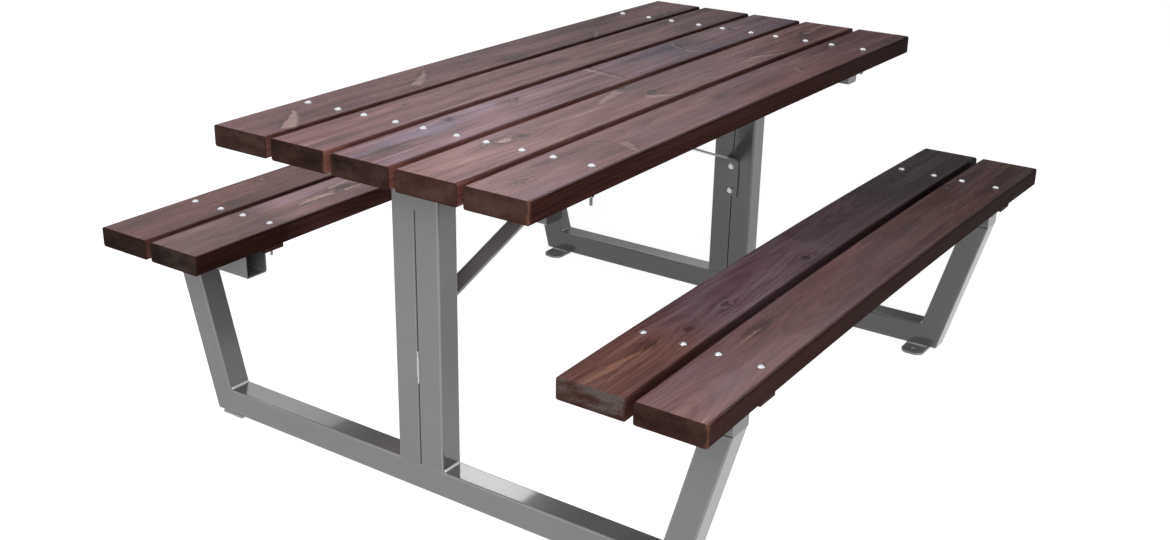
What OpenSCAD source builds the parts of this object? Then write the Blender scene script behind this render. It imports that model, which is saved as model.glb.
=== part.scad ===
// Picnic table with two steel end frames, a slatted top and two slatted benches.
// Units are millimetres. X runs along the table, Y across it, Z up from the floor.
// near and far are the -X and +X ends, front and back the -Y and +Y sides.

/* [Boards] */
// Length of the boards of the top
top_l = 1690; // [1400:5:2200]
// Length of the boards of the benches
seat_l = 1725; // [1500:5:2200]
// Width of every board
board_w = 145; // [120:1:170]
// Thickness of every board
board_t = 45; // [35:1:55]
// Gap between neighbouring boards
board_gap = 14; // [6:1:18]
// Radius of the rounded long edges of a board
board_r = 5; // [2:0.5:9]

/* [Heights and spread] */
// Height of the table surface above the floor
top_h = 775; // [720:5:820]
// Height of the seat surface above the floor
seat_h = 480; // [430:5:510]
// Clear width across from bench to bench
bench_clear = 922; // [840:2:1000]

/* [End frames] */
// Overhang of the top past the outer face of an end frame
overhang = 148; // [110:1:220]
// Outside size of the post, leg, runner and seat bar tube
tube = 60; // [50:1:66]
// Outside size of the crossbar tube under the top
crossbar = 50; // [40:1:54]
// Wall of every tube
wall = 3; // [2:0.5:4]
// Outside corner radius of every tube
tube_r = 5; // [4.5:0.5:7]
// Lean of the legs from the vertical, in degrees
leg_lean = 15; // [8:0.5:20]
// How far a leg's top stays inside the bench's outer edge
leg_inset = 40; // [30:1:70]
// How far a seat bar's open end stays inside the bench's inner edge
bar_inset = 36; // [20:1:80]
// How far the crossbar's ends stay inside the top's long edges
crossbar_inset = 74; // [60:1:140]

/* [Feet] */
// Thickness of a foot plate
foot_t = 6; // [4:0.5:10]
// Width of a foot plate along the runner
foot_w = 60; // [50:1:70]
// Length of the foot's tab past the runner
foot_tab = 55; // [45:1:70]
// Radius of the tab's rounded corners
foot_r = 22; // [8:1:24]
// Distance from the runner's end to the foot plate
foot_inset = 18; // [5:1:25]
// Diameter of the anchor hole
anchor_d = 12; // [8:0.5:16]

/* [Strips and centre batten] */
// Thickness of the strips under the boards
strip_t = 10; // [8:0.5:16]
// How far the seat strips stay inside the benches' long edges
strip_inset = 5; // [4:1:14]
// How far the top strips stay inside the top's long edges
top_strip_inset = 22; // [10:1:23]
// Width of the centre batten along the table
batten_w = 95; // [80:1:120]
// Thickness of the centre batten
batten_t = 95; // [70:1:110]
// How far the batten's ends stay inside the top's long edges
batten_inset = 170; // [120:1:200]

/* [Braces] */
// Width of the flat brace bars
brace_w = 40; // [30:1:50]
// Thickness of the flat brace bars
brace_t = 6; // [4:0.5:8]
// Height of the lower end of the brace's flange above the floor
brace_z = 305; // [240:5:340]
// Length of the flange on the post
flange_l = 104; // [95:1:130]
// Distance between the two bolts in the flange
flange_pitch = 70; // [50:1:76]

/* [Fasteners] */
// Thread diameter of the carriage bolts
bolt_d = 6; // [5:1:8]
// Thread diameter of the brace bolts
brace_bolt_d = 8; // [6:1:10]
// Distance from the frame's inner face to the bolt row of the top
top_bolt_off = 24; // [16:1:36]
// Distance from the frame's inner face to the bolt rows of the benches
seat_bolt_off = 12; // [11:1:30]
// Distance between the two bolts across a board
bolt_pitch = 86; // [60:1:96]
// Diameter of the domed bolt heads
head_d = 16.5; // [14:0.5:20]
// Height of the domed bolt heads
head_h = 3.5; // [2.5:0.5:5]
// Length of bolt below the nuts of the top, near frame
top_tail = 16; // [2:1:30]
// Length of bolt below the nuts of the top, far frame
far_tail = 3; // [2:1:30]
// Length of bolt below the nuts of the benches
seat_tail = 15; // [4:1:30]

/* [Hidden] */
$fn = 48;
// Clearances
hole_gap = 0.5;
thread_gap = 0.1;
strip_edge = 14;
cut = 1;
big = 3000;
// Boards
pitch = board_w + board_gap;
top_w = 5 * board_w + 4 * board_gap;
seat_in = bench_clear / 2;
seat_out = seat_in + 2 * board_w + board_gap;
top_under = top_h - board_t;
seat_under = seat_h - board_t;
// Frames
frame_x = top_l / 2 - overhang - tube / 2;
runner_top = foot_t + tube;
bar_top = seat_under - strip_t;
bar_low = bar_top - tube;
bar_out = seat_out - leg_inset;
bar_in = seat_in + bar_inset;
cross_top = top_under - strip_t;
cross_low = cross_top - crossbar;
cross_y = top_w / 2 - crossbar_inset;
foot_y = bar_out - (bar_low - foot_t) * tan(leg_lean);
cap_t = wall;
// Feet
foot_in_x = frame_x - tube / 2 - foot_tab;
foot_out_x = frame_x + tube / 2;
foot_mid_y = foot_y - foot_inset - foot_w / 2;
anchor_x = foot_in_x + foot_tab / 2;
// Fasteners
bolt_r = bolt_d / 2;
nut_r = 0.8125 * bolt_d / cos(30);
nut_h = 0.8 * bolt_d;
washer_t = 1.6;
top_bolt_x = frame_x - tube / 2 - top_bolt_off;
seat_bolt_x = frame_x - tube / 2 - seat_bolt_off;
cap_r = (head_d * head_d / 4 + head_h * head_h) / (2 * head_h);
screw_r = 3;
screw_l = 26;
bolt_in = 30;
// Braces
post_x = frame_x - tube / 2;
batten_low = top_under - batten_t;
brace_end = 5;
brace_line = [
    [post_x - brace_t / 2, brace_z],
    [post_x - brace_t / 2, brace_z + flange_l],
    [batten_w / 2, batten_low - brace_t / 2],
    [brace_end, batten_low - brace_t / 2]
];
brace_bolts_z = [for (k = [-1, 1]) brace_z + flange_l / 2 + k * flange_pitch / 2];
brace_screws_x = [for (k = [0, 1]) brace_end + (batten_w / 2 - brace_end) * (0.27 + 0.46 * k)];

// Centre line of board i of the top, counted from the back
function top_y(i) = top_w / 2 - board_w / 2 - (i - 1) * pitch;
// Centre line of board j of a bench, counted from the inside
function seat_y(j) = seat_in + board_w / 2 + (j - 1) * pitch;
// Normal of the brace's centre line on its length k, counted from the post
function brace_normal(k) =
    let (d = brace_line[k + 1] - brace_line[k])
    [-d[1], d[0]] / norm(d);
// Corner k of the brace's outline, off its centre line by o
function brace_edge(k, o) =
    let (a = brace_normal(max(k - 1, 0)), b = brace_normal(min(k, 2)))
    brace_line[k] + o * (a + b) / (1 + a * b);
// Bolt places across the top and across one bench
top_bolts_y = [for (i = [1:5], k = [-1, 1]) top_y(i) + k * bolt_pitch / 2];
seat_bolts_y = [for (j = [1:2], k = [-1, 1]) seat_y(j) + k * bolt_pitch / 2];

wood = [0.34, 0.2, 0.17];
dark_wood = [0.2, 0.11, 0.09];
paint = [0.5, 0.5, 0.5];
zinc = [0.78, 0.8, 0.82];

// Shared shapes

// Rounded rectangle, centred
module rounded(w, h, r) {
    square([w - 2 * r, h], center = true);
    square([w, h - 2 * r], center = true);
    for (sx = [-1, 1], sy = [-1, 1])
        translate([sx * (w / 2 - r), sy * (h / 2 - r)])
            circle(r);
}

// Square tube standing along Z
module tube_z(a, l) {
    linear_extrude(height = l)
        difference() {
            rounded(a, a, tube_r);
            rounded(a - 2 * wall, a - 2 * wall, tube_r - wall);
        }
}

// Square tube lying along Y from y0 to y1, with its centre at height z
module tube_y(a, y0, y1, z) {
    translate([0, y1, z])
        rotate([90, 0, 0])
            tube_z(a, y1 - y0);
}

// Places a frame part made for the far end at either end
module end_of(e) {
    if (e < 0)
        mirror([1, 0, 0])
            children();
    else
        children();
}

// Places a part made for the back at either side
module side_of(s) {
    if (s < 0)
        mirror([0, 1, 0])
            children();
    else
        children();
}

// Half space on one side of the mitre between runner and leg
module mitre(side) {
    translate([0, foot_y, foot_t])
        rotate([135 - leg_lean / 2, 0, 0])
            translate([-big / 2, -big / 2, side > 0 ? 0 : -big])
                cube(big);
}

// Upright hole from z0 to z1
module hole(d, z0, z1) {
    translate([0, 0, z0 - cut])
        cylinder(h = z1 - z0 + 2 * cut, d = d);
}

// Boards and strips

// One board with its top at height z, drilled at two bolts in each row
module board(y, z, l, bolt_x) {
    color(wood)
        difference() {
            translate([0, y, z - board_t / 2])
                rotate([90, 0, 90])
                    linear_extrude(height = l, center = true)
                        rounded(board_w, board_t, board_r);
            for (sx = [-1, 1], k = [-1, 1])
                translate([sx * bolt_x, y + k * bolt_pitch / 2, 0])
                    hole(bolt_d + 2 * hole_gap, z - board_t, z);
        }
}

// One board of the top and one of a bench
module top_board(i) {
    board(top_y(i), top_h, top_l, top_bolt_x);
}

module seat_board(y) {
    board(y, seat_h, seat_l, seat_bolt_x);
}

// Flat strip under the boards, over the frame tube and out past it to the bolt row
module strip(y0, y1, z, bolt_x, holes) {
    color(dark_wood)
        difference() {
            translate([bolt_x - strip_edge, y0, z - strip_t])
                cube([frame_x - bolt_x + strip_edge, y1 - y0, strip_t]);
            for (y = holes)
                translate([bolt_x, y, 0])
                    hole(bolt_d + 2 * hole_gap, z - strip_t, z);
        }
}

module top_strip(e) {
    end_of(e)
        strip(top_strip_inset - top_w / 2, top_w / 2 - top_strip_inset, top_under, top_bolt_x, top_bolts_y);
}

module seat_strip(e, s) {
    end_of(e)
        side_of(s)
            strip(seat_in + strip_inset, seat_out - strip_inset, seat_under, seat_bolt_x, seat_bolts_y);
}

// Batten under the middle of the top that the braces meet
module centre_batten() {
    color(dark_wood)
        difference() {
            translate([-batten_w / 2, batten_inset - top_w / 2, batten_low])
                cube([batten_w, top_w - 2 * batten_inset, batten_t]);
            for (sx = [-1, 1], x = brace_screws_x)
                translate([sx * x, 0, batten_low - cut])
                    cylinder(h = screw_l + cut, r = screw_r + thread_gap);
        }
}

// End frames

// Floor runner, mitred to the legs at both ends
module runner(e) {
    color(paint)
        end_of(e)
            translate([frame_x, 0, 0])
                difference() {
                    tube_y(tube, -foot_y - tube, foot_y + tube, foot_t + tube / 2);
                    mitre(-1);
                    mirror([0, 1, 0])
                        mitre(-1);
                }
}

// One of the two tubes of a post, drilled along the seam for the brace bolts
module post(e, s) {
    color(paint)
        end_of(e)
            side_of(s)
                difference() {
                    translate([frame_x, tube / 2, runner_top])
                        tube_z(tube, cross_low - runner_top);
                    for (z = brace_bolts_z)
                        translate([post_x - cut, 0, z])
                            rotate([0, 90, 0])
                                cylinder(h = bolt_in + cut, r = brace_bolt_d / 2 + thread_gap);
                }
}

// Crossbar on the post's top
module crossbar_tube(e) {
    color(paint)
        end_of(e)
            translate([frame_x, 0, 0])
                tube_y(crossbar, cap_t - cross_y, cross_y - cap_t, cross_low + crossbar / 2);
}

// Plate that closes a tube end at y, facing outward
module end_cap(a, y, z) {
    translate([0, y, z])
        rotate([90, 0, 0])
            linear_extrude(height = cap_t)
                rounded(a, a, tube_r);
}

module crossbar_caps() {
    color(paint)
        for (e = [-1, 1], s = [-1, 1])
            end_of(e)
                side_of(s)
                    translate([frame_x, 0, 0])
                        end_cap(crossbar, cross_y, cross_low + crossbar / 2);
}

// Leaning leg between the runner's mitre and the seat bar
module leg(e, s) {
    color(paint)
        end_of(e)
            side_of(s)
                translate([frame_x, 0, 0])
                    difference() {
                        translate([0, foot_y, foot_t])
                            rotate([-leg_lean, 0, 0])
                                translate([0, -tube / 2, -tube])
                                    tube_z(tube, bar_low / cos(leg_lean) + 2 * tube);
                        mitre(1);
                        translate([-big / 2, -big / 2, bar_low])
                            cube(big);
                    }
}

// Seat bar on the leg's top, open at the inner end
module seat_bar(e, s) {
    color(paint)
        end_of(e)
            side_of(s)
                translate([frame_x, 0, 0])
                    tube_y(tube, bar_in, bar_out - cap_t, bar_low + tube / 2);
}

module seat_bar_caps() {
    color(paint)
        for (e = [-1, 1], s = [-1, 1])
            end_of(e)
                side_of(s)
                    translate([frame_x, 0, 0])
                        end_cap(tube, bar_out, bar_low + tube / 2);
}

// Foot plate with a rounded tab and its anchor hole
module foot(e, s) {
    color(paint)
        end_of(e)
            side_of(s)
                difference() {
                    linear_extrude(height = foot_t)
                        union() {
                            translate([foot_in_x + foot_r, foot_mid_y - foot_w / 2])
                                square([foot_out_x - foot_in_x - foot_r, foot_w]);
                            translate([foot_in_x, foot_mid_y - foot_w / 2 + foot_r])
                                square([foot_tab, foot_w - 2 * foot_r]);
                            for (k = [-1, 1])
                                translate([foot_in_x + foot_r, foot_mid_y + k * (foot_w / 2 - foot_r)])
                                    circle(foot_r);
                        }
                    translate([anchor_x, foot_mid_y, 0])
                        hole(anchor_d, 0, foot_t);
                }
}

// Flat brace from the post's inner face up to the centre batten
module brace(e) {
    color(paint)
        end_of(e)
            difference() {
                rotate([90, 0, 0])
                    linear_extrude(height = brace_w, center = true)
                        polygon(concat(
                            [for (k = [0:3]) brace_edge(k, brace_t / 2)],
                            [for (k = [3:-1:0]) brace_edge(k, -brace_t / 2)]
                        ));
                for (z = brace_bolts_z)
                    translate([post_x - brace_t - cut, 0, z])
                        rotate([0, 90, 0])
                            cylinder(h = brace_t + 2 * cut, d = brace_bolt_d + 2 * hole_gap);
                for (x = brace_screws_x)
                    translate([x, 0, 0])
                        hole(2 * screw_r + 2 * hole_gap, batten_low - brace_t, batten_low);
            }
}

// Fasteners

// Hexagon head bolt along Z, with the underside of its head at the origin
module hex_bolt(r, l) {
    translate([0, 0, -1.3 * r])
        cylinder(h = 1.3 * r, r = 1.625 * r / cos(30), $fn = 6);
    cylinder(h = l, r = r);
}

module brace_bolts() {
    color(zinc)
        for (e = [-1, 1], z = brace_bolts_z)
            end_of(e)
                translate([post_x - brace_t - washer_t, 0, z])
                    rotate([0, 90, 0])
                        hex_bolt(brace_bolt_d / 2, bolt_in + brace_t + washer_t - cut);
}

module brace_washers() {
    color(zinc)
        for (e = [-1, 1], z = brace_bolts_z)
            end_of(e)
                translate([post_x - brace_t - washer_t, 0, z])
                    rotate([0, 90, 0])
                        washer(brace_bolt_d);
}

module brace_screws() {
    color(zinc)
        for (e = [-1, 1], x = brace_screws_x)
            end_of(e)
                translate([x, 0, batten_low - brace_t])
                    hex_bolt(screw_r, screw_l + brace_t - cut);
}

// Domed bolt with the underside of its head at height z
module carriage_bolt(z, l) {
    translate([0, 0, z]) {
        intersection() {
            translate([0, 0, head_h - cap_r])
                sphere(cap_r);
            cylinder(h = head_h + cut, d = head_d);
        }
        translate([0, 0, -l])
            cylinder(h = l, r = bolt_r);
    }
}

module washer(d) {
    difference() {
        cylinder(h = washer_t, r = d);
        hole(d + 2 * thread_gap, 0, washer_t);
    }
}

module nut() {
    difference() {
        cylinder(h = nut_h, r = nut_r, $fn = 6);
        hole(bolt_d + 2 * thread_gap, 0, nut_h);
    }
}

// Repeats a fastener along the bolt row of the top
module top_row(e) {
    color(zinc)
        end_of(e)
            for (y = top_bolts_y)
                translate([top_bolt_x, y, 0])
                    children();
}

// Repeats a fastener along the bolt rows of both benches
module seat_row(e) {
    color(zinc)
        end_of(e)
            for (s = [-1, 1], y = seat_bolts_y)
                translate([seat_bolt_x, s * y, 0])
                    children();
}

module top_bolts(e) {
    top_row(e)
        carriage_bolt(top_h, board_t + strip_t + washer_t + nut_h + (e < 0 ? top_tail : far_tail));
}

module seat_bolts(e) {
    seat_row(e)
        carriage_bolt(seat_h, board_t + strip_t + washer_t + nut_h + seat_tail);
}

module top_washers(e) {
    top_row(e)
        translate([0, 0, cross_top - washer_t])
            washer(bolt_d);
}

module seat_washers(e) {
    seat_row(e)
        translate([0, 0, bar_top - washer_t])
            washer(bolt_d);
}

module top_nuts(e) {
    top_row(e)
        translate([0, 0, cross_top - washer_t - nut_h])
            nut();
}

module seat_nuts(e) {
    seat_row(e)
        translate([0, 0, bar_top - washer_t - nut_h])
            nut();
}

// Boards of the top from back to front, then of the back bench and the front bench
top_board(1);  // top_board_1
top_board(2);  // top_board_2
top_board(3);  // top_board_3
top_board(4);  // top_board_4
top_board(5);  // top_board_5
seat_board(seat_y(2));  // seat_board_1
seat_board(seat_y(1));  // seat_board_2
seat_board(-seat_y(1));  // seat_board_3
seat_board(-seat_y(2));  // seat_board_4
top_strip(-1);  // top_strip_near
top_strip(1);  // top_strip_far
seat_strip(-1, -1);  // seat_strip_front_near
seat_strip(1, -1);  // seat_strip_front_far
seat_strip(-1, 1);  // seat_strip_back_near
seat_strip(1, 1);  // seat_strip_back_far
centre_batten();
runner(-1);  // runner_near
runner(1);  // runner_far
post(-1, -1);  // post_front_near
post(-1, 1);  // post_back_near
post(1, -1);  // post_front_far
post(1, 1);  // post_back_far
crossbar_tube(-1);  // crossbar_near
crossbar_tube(1);  // crossbar_far
crossbar_caps();
leg(-1, -1);  // leg_front_near
leg(-1, 1);  // leg_back_near
leg(1, -1);  // leg_front_far
leg(1, 1);  // leg_back_far
seat_bar(-1, -1);  // seat_bar_front_near
seat_bar(-1, 1);  // seat_bar_back_near
seat_bar(1, -1);  // seat_bar_front_far
seat_bar(1, 1);  // seat_bar_back_far
seat_bar_caps();
foot(-1, -1);  // foot_front_near
foot(-1, 1);  // foot_back_near
foot(1, -1);  // foot_front_far
foot(1, 1);  // foot_back_far
brace(-1);  // brace_near
brace(1);  // brace_far
brace_bolts();
brace_washers();
brace_screws();
top_bolts(-1);  // top_bolts_near
top_bolts(1);  // top_bolts_far
seat_bolts(-1);  // seat_bolts_near
seat_bolts(1);  // seat_bolts_far
top_washers(-1);  // top_washers_near
top_washers(1);  // top_washers_far
seat_washers(-1);  // seat_washers_near
seat_washers(1);  // seat_washers_far
top_nuts(-1);  // top_nuts_near
top_nuts(1);  // top_nuts_far
seat_nuts(-1);  // seat_nuts_near
seat_nuts(1);  // seat_nuts_far
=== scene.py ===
"""Dresses the packed picnic table: stained boards, painted frames, bolts and welds, on a plain stage."""
import math
from typing import NamedTuple

import bmesh
import bpy
from bpy.props import FloatProperty, FloatVectorProperty, PointerProperty
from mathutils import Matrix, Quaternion, Vector


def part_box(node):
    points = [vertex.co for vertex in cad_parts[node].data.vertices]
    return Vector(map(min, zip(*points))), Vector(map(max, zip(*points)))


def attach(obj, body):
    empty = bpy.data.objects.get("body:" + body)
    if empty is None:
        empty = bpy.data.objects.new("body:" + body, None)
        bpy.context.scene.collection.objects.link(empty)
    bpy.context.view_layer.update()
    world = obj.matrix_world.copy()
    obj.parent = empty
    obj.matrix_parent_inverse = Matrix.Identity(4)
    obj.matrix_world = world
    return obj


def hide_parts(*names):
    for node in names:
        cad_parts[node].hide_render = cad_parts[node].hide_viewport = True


bl_info = {
    "name": "Picnic Table Finish",
    "version": (1, 0, 0),
    "blender": (4, 5, 0),
    "location": "View3D > Sidebar > Picnic Table",
    "description": "Stained boards, painted tube frames, zinc bolts and weld beads for a picnic table",
    "category": "Object",
}

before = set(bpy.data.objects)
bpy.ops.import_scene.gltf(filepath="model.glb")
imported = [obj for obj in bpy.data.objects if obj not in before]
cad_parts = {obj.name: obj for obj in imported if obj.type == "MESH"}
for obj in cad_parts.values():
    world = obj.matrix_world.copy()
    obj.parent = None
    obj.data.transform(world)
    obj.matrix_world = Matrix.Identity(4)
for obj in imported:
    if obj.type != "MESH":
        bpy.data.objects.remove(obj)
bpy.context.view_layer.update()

# Words in the names of the nodes that get paint and zinc
PAINTED = ("runner", "post", "crossbar", "leg", "seat_bar", "foot", "brace_near", "brace_far")
ZINC = ("bolts", "washers", "nuts", "screws")

# Bolts in a board: distance of the rows from its middle along x, and of the bolts from its centre line
BOLT_ROWS = {"top": 0.613, "seat": 0.625}
BOLT_ASIDE = 0.043
# Heights under which a bolt of the top or of the benches shows its tail, which gets painted shade
TOP_TAILS, SEAT_TAILS = 0.73, 0.435

FRONT_BENCH = ("seat_board_3", "seat_board_4")
BOARD_SLICES = 28
ARRIS_STEPS, END_ARRIS_STEPS = 4, 2
MATERIAL_FACE, MATERIAL_EDGE, MATERIAL_END = range(3)

# Fill at the top of the posts' seam, and the stitch on it as (low end, high end, width of the bead)
SEAM_FILL = (0.0048, 0.0104, 0.036)
SEAM_FILL_SINK = 0.0025
STITCHES = ((0.256, 0.276, 0.55), (0.272, 0.301, 0.72), (0.297, 0.316, 0.65), (0.313, 0.329, 0.45))
TUBE_CORNER = 0.005
FOOT_WELD_INSET = 0.004
BEAD_SIDES = 10
THIN_BEAD = 0.8
BEAD_END, BEAD_DIP = 0.55, 0.86

# The braces' sloping bars lie within the second of these distances from the middle
BAR_ENDS = (0.622, 0.610)
# Brightness of the paint there and on feet as painted light, on welds as a painted highlight, and on stitches; and what
# rounded edges gain as a painted highlight
BAR_LIGHT_GAIN, FOOT_LIGHT_GAIN, WELD_HIGHLIGHT_GAIN, STITCH_GAIN = 2.3, 2.4, 3.0, 2.4
EDGE_HIGHLIGHT_GAIN = 0.6
# Colour of the painted shade in the groove of the posts' seam
SEAM_SHADE = (0.012, 0.012, 0.012)

# Soft lights as (name, setting of the power, place, size), the point that they face, and the runner light's roll
SOFTBOXES = (
    ("overhead_softbox", "overhead", (-2.1, -0.5, 2.3), (2.0, 2.0)),
    ("end_softbox", "end_light", (-5.0, -2.3, 2.4), (4.8, 2.4)),
    ("side_softbox", "side_light", (-2.2, -5.0, 1.9), (4.0, 2.4)),
    ("sheen_softbox", "sheen_light", (4.4, 4.4, 4.0), (5.0, 3.2)),
    ("runner_softbox", "runner_light", (3.42, 2.89, 3.15), (1.0, 0.20)),
)
LIGHT_AIM = Vector((0.0, 0.0, 0.55))
RUNNER_ROLL = Quaternion((0.0, 0.0, 1.0), math.radians(-25.0))
WHITE = (1.0, 1.0, 1.0, 1.0)
FLOOR_GREY = (0.62, 0.62, 0.62, 1.0)
FLOOR_DROP = -0.0005
FLOOR_GLOW, FLOOR_GLOW_TO_CAMERA = 0.80, 0.10
SENSOR_WIDTH = 36.0


class Board(NamedTuple):
    """Stain, figure and marks of one board, in metres from the board's middle."""

    tone: float  # Brightness of the stain
    red: float  # Balance of its red
    blue: float  # Balance of its blue
    haze: float  # Share of greyer places: weathered wood and painted sky sheen
    pith: tuple  # Place of the pith as (y, z)
    ring: float  # Distance between growth rings
    figure: float  # Strength of the rings
    grain: float  # Strength of the streaks
    ends: tuple  # End grain as (tone, dust)
    knots: tuple  # Each as (x, y, radius, paleness of the core, stretch along the grain)
    spikes: tuple = ()  # Knots cut lengthways: (root x, y, tip x, y, half width, paleness, outline, rawness)
    lengths_and_light: tuple = ()  # Changes of tone along the board: (x, tone, coolness, softness), partly glued lengths and partly painted light and shade
    worn: float = 0.0  # Raw wood on the near end's front corner
    shade: float = 1.0  # Brightness of the long edges, as painted light in the gaps between boards and painted shade under the table top
    shift: float = 0.0  # Moves the pattern of the grain
    paler: float = 1.0  # Brightness of the spikes' cores


BOARDS = {
    "top_board_1": Board(
        tone=0.86, red=1.27, blue=1.15, haze=0.25, pith=(0.02, -0.05), ring=0.0056, figure=0.45, grain=0.9,
        ends=(0.60, 0.3), shade=2.3, lengths_and_light=((0.30, 0.73, 0.02, 0.30),),
        knots=((0.33, -0.062, 0.008, 0.05, 1.2), (0.675, -0.060, 0.009, 0.1, 1.6), (-0.021, -0.047, 0.008, 0.05, 1.6)),
        spikes=((-0.766, -0.064, -0.678, 0.024, 0.022, 0.85, 0.9, 0.0),
                (-0.358, -0.042, -0.257, 0.030, 0.017, 0.7, 0.9, 0.0),
                (0.308, -0.0725, 0.371, -0.030, 0.008, 0.6, 0.8, 0.0),
                (0.705, -0.034, 0.655, -0.079, 0.006, 0.3, 0.9, 0.0))),
    "top_board_2": Board(
        tone=1.32, red=1.13, blue=1.10, haze=0.2, pith=(-0.035, -0.07), ring=0.0050, figure=0.5, grain=0.9,
        ends=(0.34, 0.05), shade=2.3, shift=0.9, worn=0.34, lengths_and_light=((0.12, 1.00, 0.03, 0.20),),
        knots=((-0.503, 0.028, 0.006, 0.2, 1.6), (0.021, 0.004, 0.006, 0.3, 1.6), (0.55, -0.03, 0.007, 0.2, 1.6))),
    "top_board_3": Board(
        tone=1.76, red=0.96, blue=1.32, haze=0.7, pith=(0.01, -0.042), ring=0.0060, figure=0.5, grain=1.0,
        ends=(0.44, 0.2), shade=2.3, lengths_and_light=((0.06, 1.22, 0.02, 0.10),),
        knots=((-0.534, 0.042, 0.008, 0.05, 1.5), (-0.340, 0.032, 0.006, 0.3, 1.6), (-0.758, 0.001, 0.005, 0.2, 1.6),
               (0.347, 0.026, 0.009, 0.05, 1.1), (0.613, 0.022, 0.008, 0.05, 1.2)),
        spikes=((-0.010, 0.068, -0.022, -0.050, 0.016, 0.75, 1.25, 0.0),
                (-0.322, 0.045, -0.350, 0.012, 0.005, 0.1, 0.9, 0.0),
                (-0.530, 0.060, -0.550, 0.026, 0.005, 0.1, 0.9, 0.0),
                (0.352, 0.048, 0.322, -0.004, 0.010, 0.6, 1.25, 0.0),
                (0.312, -0.024, 0.356, -0.078, 0.008, 0.9, 0.3, 0.0),
                (0.624, 0.040, 0.602, 0.004, 0.006, 0.1, 1.25, 0.0))),
    "top_board_4": Board(
        tone=1.38, red=1.09, blue=1.10, haze=0.3, pith=(-0.012, -0.045), ring=0.0055, figure=0.45, grain=0.9,
        ends=(0.82, 0.2), shade=2.3,
        knots=((-0.584, 0.020, 0.010, 1.0, 2.2), (-0.536, 0.014, 0.012, 0.15, 1.0), (-0.104, 0.064, 0.009, 0.0, 1.6),
               (-0.090, -0.008, 0.009, 0.0, 2.0), (0.709, 0.003, 0.011, 0.6, 1.8)),
        spikes=((-0.140, 0.052, -0.250, 0.022, 0.016, 0.75, 0.4, 0.0),
                (-0.132, -0.026, -0.050, -0.072, 0.014, 0.8, 1.25, 0.0),
                (0.345, -0.026, 0.462, -0.066, 0.012, 0.8, 1.1, 0.0))),
    "top_board_5": Board(
        tone=1.14, red=1.14, blue=1.14, haze=0.45, pith=(0.03, -0.06), ring=0.0050, figure=0.5, grain=0.9,
        ends=(0.76, 0.2), worn=0.30, lengths_and_light=((0.48, 1.00, 0.06, 0.20),),
        knots=((-0.778, 0.002, 0.005, 0.3, 1.6), (-0.031, 0.012, 0.006, 0.15, 1.6)),
        spikes=((-0.505, 0.045, -0.468, 0.008, 0.004, 0.2, 1.25, 0.0),
                (-0.455, -0.008, -0.485, -0.070, 0.016, 0.6, 0.5, 0.5),
                (0.310, -0.002, 0.290, -0.036, 0.007, 0.7, 0.9, 0.0))),
    "seat_board_1": Board(
        tone=0.92, red=1.29, blue=1.04, haze=0.1, pith=(0.02, -0.06), ring=0.0055, figure=0.45, grain=0.9,
        ends=(0.24, 0.05), shade=1.8,
        knots=((-0.578, -0.034, 0.005, 0.3, 1.4), (-0.419, 0.041, 0.006, 0.9, 1.4), (0.20, 0.02, 0.008, 0.2, 1.6))),
    "seat_board_2": Board(
        tone=1.15, red=0.98, blue=1.06, haze=0.5, pith=(0.0, -0.035), ring=0.0066, figure=0.5, grain=0.8,
        ends=(0.30, 0.4), shade=0.44, paler=1.75, lengths_and_light=((-0.56, 3.2, 0.14, 0.05),),
        knots=((-0.384, 0.001, 0.010, 0.8, 1.8), (-0.342, -0.001, 0.008, 0.3, 1.6), (0.31, -0.02, 0.009, 0.3, 1.6)),
        spikes=((-0.392, -0.004, -0.500, -0.010, 0.013, 1.0, 0.6, 0.1),
                (-0.356, -0.019, -0.270, -0.014, 0.009, 1.0, 0.6, 0.1),
                (-0.372, 0.020, -0.300, 0.030, 0.008, 0.8, 0.5, 0.1))),
    "seat_board_3": Board(
        tone=1.06, red=1.0, blue=0.94, haze=0.15, pith=(0.015, -0.05), ring=0.0056, figure=0.5, grain=0.5,
        ends=(0.90, 1.7), shade=1.4,
        lengths_and_light=((-0.56, 0.98, 0.78, 0.09), (-0.02, 0.72, 0.74, 0.012), (0.33, 0.29, 0.72, 0.06)),
        knots=((-0.655, 0.003, 0.007, 0.2, 2.0), (-0.565, -0.020, 0.006, 0.1, 2.4), (-0.426, -0.023, 0.006, 0.2, 1.6),
               (-0.108, -0.040, 0.009, 0.1, 1.3), (0.55, 0.02, 0.007, 0.2, 1.6)),
        spikes=((-0.78, 0.011, -0.69, 0.003, 0.010, 0.8, 0.5, 1.0),
                (-0.78, 0.011, -0.88, 0.017, 0.010, 0.8, 0.5, 1.0),
                (-0.82, -0.011, -0.62, -0.002, 0.003, 0.7, 0.2, 1.0))),
    "seat_board_4": Board(
        tone=0.98, red=1.05, blue=1.09, haze=0.4, pith=(-0.02, -0.06), ring=0.0052, figure=0.45, grain=0.7,
        ends=(0.50, 0.1), worn=0.40,
        lengths_and_light=((-0.46, 0.86, -0.06, 0.004), (0.12, 0.69, -0.10, 0.02), (0.62, 0.56, -0.04, 0.02)),
        knots=((0.542, 0.052, 0.006, 0.5, 1.6), (0.088, 0.052, 0.007, 0.3, 1.6), (-0.487, 0.031, 0.006, 0.3, 1.6)),
        spikes=((-0.49, 0.031, -0.59, 0.027, 0.003, 0.6, 0.3, 0.8),)),
}


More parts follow.
